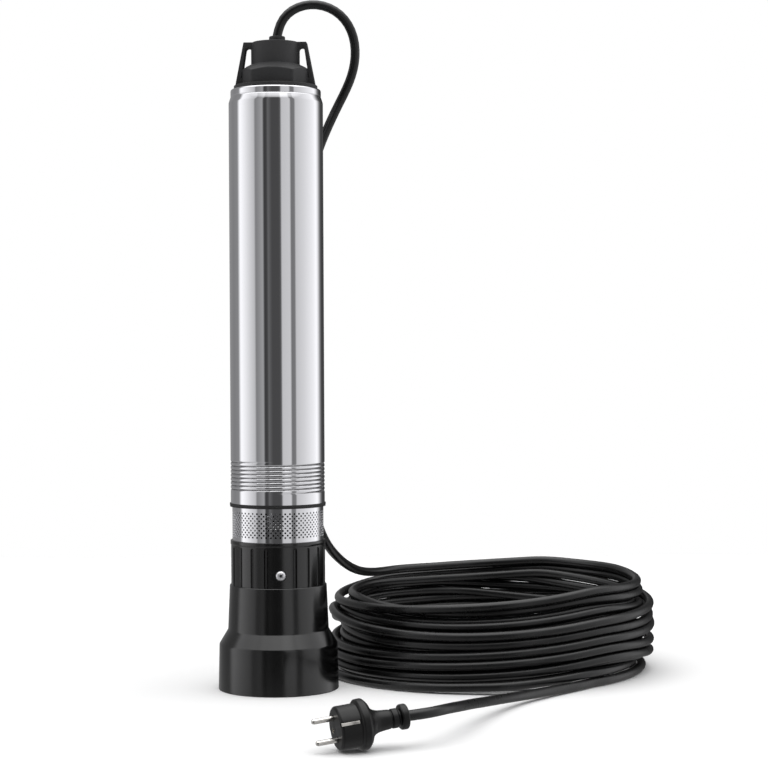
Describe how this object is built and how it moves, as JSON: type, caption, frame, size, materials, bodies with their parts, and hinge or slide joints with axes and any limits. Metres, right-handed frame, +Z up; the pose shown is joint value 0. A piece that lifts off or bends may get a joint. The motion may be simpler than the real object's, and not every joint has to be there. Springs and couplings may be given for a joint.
{
  "type": "borehole submersible pump",
  "caption": "Slim submersible borehole pump: steel tube with strainer and flared foot, discharge head with rope eyes, coiled mains lead and plug.",
  "frame": {"origin": "centre of the foot's underside, on the floor", "axes": "+Z up along the pump's axis, -Y towards the viewer of the picture, +X to that viewer's right"},
  "size_m": [0.4685, 0.6661, 0.7147],
  "materials": {
    "moulded_black": "satin, fine mould grain",
    "stainless": "polished sheet",
    "screw_steel": "bright",
    "seal_rubber": "matt",
    "stage_plastic": "glass-filled moulding",
    "impeller_plastic": "glass-filled moulding",
    "shaft_steel": "ground",
    "brass": "turned",
    "seal_ceramic": "lapped",
    "seal_carbon": "lapped carbon",
    "castings": "cast and turned",
    "bearing_steel": "ground",
    "laminations": "stamped stack",
    "copper": "varnished wire",
    "rotor_aluminium": "die cast",
    "wire_insulation": "insulated strands",
    "cable_rubber": "satin sheath",
    "plug_rubber": "satin moulding",
    "contact_metal": "nickel plated"
  },
  "bodies": {
    "pump": {"stand_foot": "moulded_black", "grip_collar": "moulded_black", "intake_housing": "moulded_black", "motor_cover": "moulded_black", "discharge_head": "moulded_black", "gland_nut": "moulded_black", "strainer": "stainless", "outer_tube": "stainless", "motor_can": "stainless", "foot_screws": "screw_steel", "collar_screws": "screw_steel", "tube_gasket": "seal_rubber", "cover_grommet": "seal_rubber", "head_oring": "seal_rubber", "gland_grommet": "seal_rubber", "stage_casing_1": "stage_plastic", "stage_casing_2": "stage_plastic", "stage_casing_3": "stage_plastic", "stage_casing_4": "stage_plastic", "stage_casing_5": "stage_plastic", "diffuser_1": "stage_plastic", "diffuser_2": "stage_plastic", "diffuser_3": "stage_plastic", "diffuser_4": "stage_plastic", "diffuser_5": "stage_plastic", "lower_bush": "stage_plastic", "valve_guide": "stage_plastic", "valve_spring": "shaft_steel", "seal_seat": "seal_ceramic", "motor_bracket": "castings", "upper_bracket": "castings", "lower_bearing_outer": "bearing_steel", "upper_bearing_outer": "bearing_steel", "stator_core": "laminations", "windings": "copper", "capacitor": "rotor_aluminium", "motor_leads": "wire_insulation", "inner_cable": "cable_rubber", "cable_lead": "cable_rubber", "cable_coil": "cable_rubber", "cable_tail": "cable_rubber", "plug_body": "plug_rubber", "plug_pins": "contact_metal", "plug_earth": "contact_metal"},
    "rotor": {"impeller_1": "impeller_plastic", "impeller_2": "impeller_plastic", "impeller_3": "impeller_plastic", "impeller_4": "impeller_plastic", "impeller_5": "impeller_plastic", "shaft": "shaft_steel", "shaft_nut": "brass", "seal_head": "seal_carbon", "seal_spring": "shaft_steel", "rotor_core": "laminations", "rotor_cage": "rotor_aluminium", "lower_bearing_inner": "bearing_steel", "upper_bearing_inner": "bearing_steel"},
    "bearing_cages": {"lower_bearing_balls": "bearing_steel", "upper_bearing_balls": "bearing_steel"},
    "check_valve": {"valve_poppet": "brass"}
  },
  "joints": [
    {"name": "rotor_spin", "type": "hinge", "parent": "pump", "child": "rotor", "pos_m": [0, 0, 0.4], "axis": [0, 0, 1], "continuous": true},
    {"name": "cage_spin", "type": "hinge", "parent": "pump", "child": "bearing_cages", "pos_m": [0, 0, 0.4], "axis": [0, 0, 1], "continuous": true},
    {"name": "valve_lift", "type": "slide", "parent": "pump", "child": "check_valve", "axis": [0, 0, 1], "range_m": [0, 0.006], "stiffness_N_per_m": 200, "springref_m": -0.005, "deforming": ["valve_spring"]}
  ],
  "couplings": [
    {"joint": "cage_spin", "follows": "rotor_spin", "ratio": 0.3816}
  ]
}
